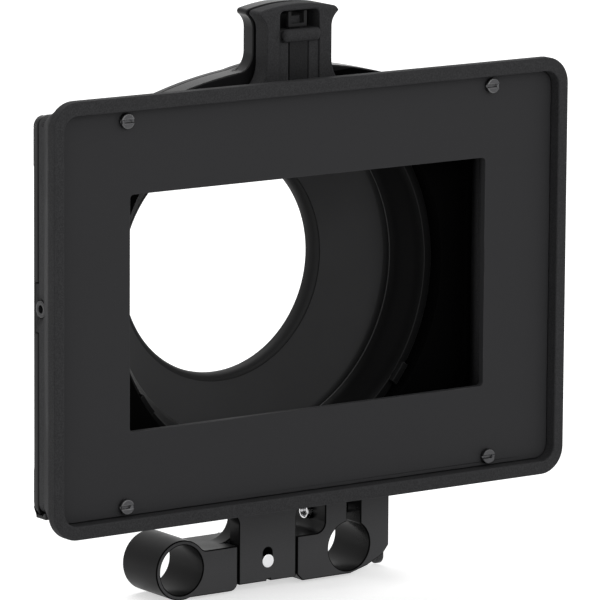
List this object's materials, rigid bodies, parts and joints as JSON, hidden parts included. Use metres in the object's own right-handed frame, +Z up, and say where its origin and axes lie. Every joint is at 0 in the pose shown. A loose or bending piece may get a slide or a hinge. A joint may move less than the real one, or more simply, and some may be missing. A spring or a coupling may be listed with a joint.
{
  "type": "matte box",
  "caption": "Flat black matte box with a rectangular mask, a round lens port at the back and a split clamp for two rods below.",
  "frame": {"origin": "on the optical axis, at the centre of the lens port's rear edge", "axes": "+X to the right seen from the front, +Y back towards the camera along the optical axis, +Z up"},
  "size_m": [0.181, 0.0542, 0.1758],
  "materials": {
    "grained_plastic": "fine grained moulded black",
    "smooth_plastic": "smooth matte black",
    "satin_black": "satin black with soft highlights",
    "anodised": "black anodised, bead blasted",
    "black_metal": "black coated",
    "soft_lip": "smooth black rubber",
    "grey_screw": "grey machined",
    "dark_screw": "black oxide",
    "spring_steel": "drawn spring wire and strip",
    "bright_steel": "polished"
  },
  "bodies": {
    "console": {"rod_console": "anodised"},
    "clamp": {"clamp_screw": "bright_steel", "clamp_washer": "bright_steel", "clamp_lever": "black_metal", "lever_screw": "dark_screw"},
    "height_lock": {"height_stud": "bright_steel", "height_knob": "black_metal", "knob_washer": "bright_steel"},
    "rear_unit": {"rear_body": "satin_black", "back_plate": "satin_black", "back_screws": "dark_screw", "striker": "black_metal", "striker_screws": "grey_screw", "filter_frame": "smooth_plastic", "filter_clips": "spring_steel", "barrel": "satin_black", "barrel_screws": "dark_screw", "reducer": "smooth_plastic", "reducer_screws": "dark_screw", "port_ring": "soft_lip", "height_plate": "anodised", "plate_screws": "dark_screw"},
    "front_unit": {"front_frame": "grained_plastic", "mask_plate": "smooth_plastic", "mask_screws": "grey_screw", "side_bushes": "black_metal", "slider_keeper": "black_metal", "keeper_screws": "grey_screw", "latch_spring": "spring_steel"},
    "latch": {"latch_slider": "grained_plastic"}
  },
  "joints": [
    {"name": "clamp_turn", "type": "hinge", "parent": "console", "child": "clamp", "pos_m": [0.0446, -0.01985, -0.0748], "axis": [1, 0, 0], "range_deg": [0, 110]},
    {"name": "height_lock_turn", "type": "hinge", "parent": "console", "child": "height_lock", "pos_m": [0.0005, -0.01065, -0.08585], "axis": [0, 1, 0], "range_deg": [-180, 180]},
    {"name": "height_slide", "type": "slide", "parent": "console", "child": "rear_unit", "axis": [0, 0, 1], "range_m": [-0.0024, 0]},
    {"name": "front_tip", "type": "hinge", "parent": "rear_unit", "child": "front_unit", "pos_m": [0, -0.04115, -0.06], "axis": [1, 0, 0], "range_deg": [0, 25]},
    {"name": "latch_slide", "type": "slide", "parent": "front_unit", "child": "latch", "axis": [0, 0, -1], "range_m": [0, 0.0036], "deforming": ["latch_spring"]}
  ],
  "couplings": [
    {"joint": "latch_slide", "follows": "front_tip", "m_per_rad": 0.00825}
  ]
}
